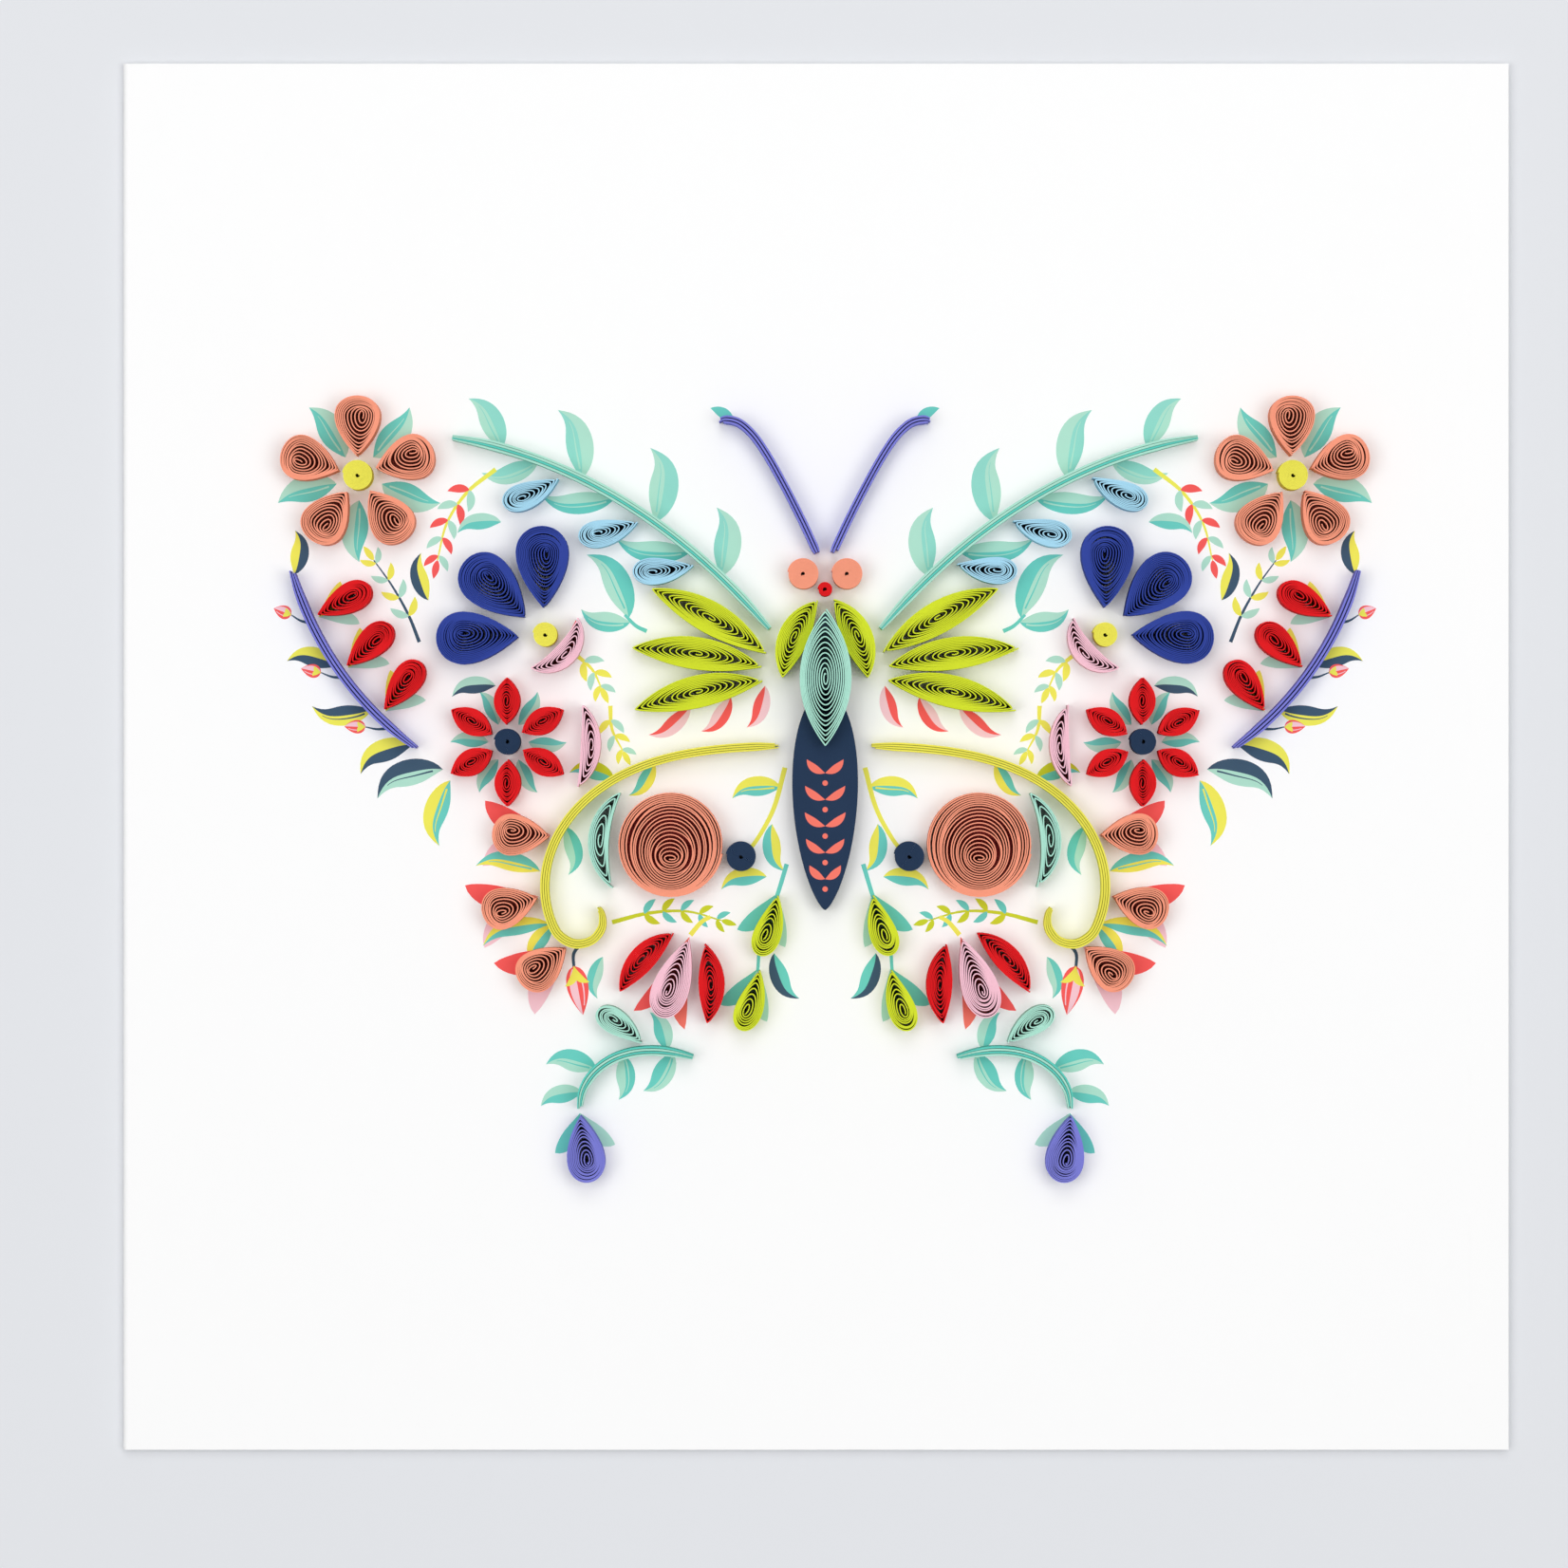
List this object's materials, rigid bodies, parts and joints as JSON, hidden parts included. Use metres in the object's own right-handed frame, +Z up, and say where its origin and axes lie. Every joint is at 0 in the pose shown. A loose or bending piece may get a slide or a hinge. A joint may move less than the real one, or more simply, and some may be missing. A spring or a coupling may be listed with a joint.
{
  "type": "quilled paper butterfly card",
  "caption": "Square folded card carrying a quilled butterfly built from rolled and pinched paper strips that stand on edge.",
  "frame": {"origin": "under the middle of the closed card, on the surface it lies on", "axes": "+Z up out of the quilled face, +X away from the card's fold, +Y towards the antennae"},
  "size_m": [0.1524, 0.1524, 0.0073],
  "materials": {
    "card_white": "smooth matt card",
    "coral_paper": "matt coloured paper",
    "red_paper": "matt coloured paper",
    "blue_paper": "matt coloured paper",
    "periwinkle_paper": "matt coloured paper",
    "pink_paper": "matt coloured paper",
    "mint_paper": "matt coloured paper",
    "teal_paper": "matt coloured paper",
    "sky_paper": "matt coloured paper",
    "lime_paper": "matt coloured paper",
    "yellow_paper": "matt coloured paper",
    "navy_paper": "matt coloured paper"
  },
  "bodies": {
    "root": {"abdomen_cap": "navy_paper", "abdomen_wall": "navy_paper", "card": "card_white", "head": "red_paper", "left_antenna": "periwinkle_paper", "left_blossom": "coral_paper", "left_blossom_heart": "yellow_paper", "left_blue_fan": "blue_paper", "left_eye": "coral_paper", "left_eyespot": "coral_paper", "left_eyespot_bead": "navy_paper", "left_eyespot_moon": "mint_paper", "left_fan_bead": "yellow_paper", "left_fan_cup": "pink_paper", "left_inner_drops": "lime_paper", "left_laurel": "sky_paper", "left_leading_stem": "teal_paper", "left_lime_feathers": "lime_paper", "left_margin_drops": "red_paper", "left_margin_petals": "coral_paper", "left_margin_stem": "periwinkle_paper", "left_shoulder_lobe": "lime_paper", "left_star": "red_paper", "left_star_heart": "navy_paper", "left_star_moon": "pink_paper", "left_tail_drop": "periwinkle_paper", "left_tail_leaf": "mint_paper", "left_tail_stem": "teal_paper", "left_tulip_heart": "pink_paper", "left_tulip_sides": "red_paper", "left_vine": "yellow_paper", "right_antenna": "periwinkle_paper", "right_blossom": "coral_paper", "right_blossom_heart": "yellow_paper", "right_blue_fan": "blue_paper", "right_eye": "coral_paper", "right_eyespot": "coral_paper", "right_eyespot_bead": "navy_paper", "right_eyespot_moon": "mint_paper", "right_fan_bead": "yellow_paper", "right_fan_cup": "pink_paper", "right_inner_drops": "lime_paper", "right_laurel": "sky_paper", "right_leading_stem": "teal_paper", "right_lime_feathers": "lime_paper", "right_margin_drops": "red_paper", "right_margin_petals": "coral_paper", "right_margin_stem": "periwinkle_paper", "right_shoulder_lobe": "lime_paper", "right_star": "red_paper", "right_star_heart": "navy_paper", "right_star_moon": "pink_paper", "right_tail_drop": "periwinkle_paper", "right_tail_leaf": "mint_paper", "right_tail_stem": "teal_paper", "right_tulip_heart": "pink_paper", "right_tulip_sides": "red_paper", "right_vine": "yellow_paper", "thorax": "mint_paper"}
  },
  "joints": []
}
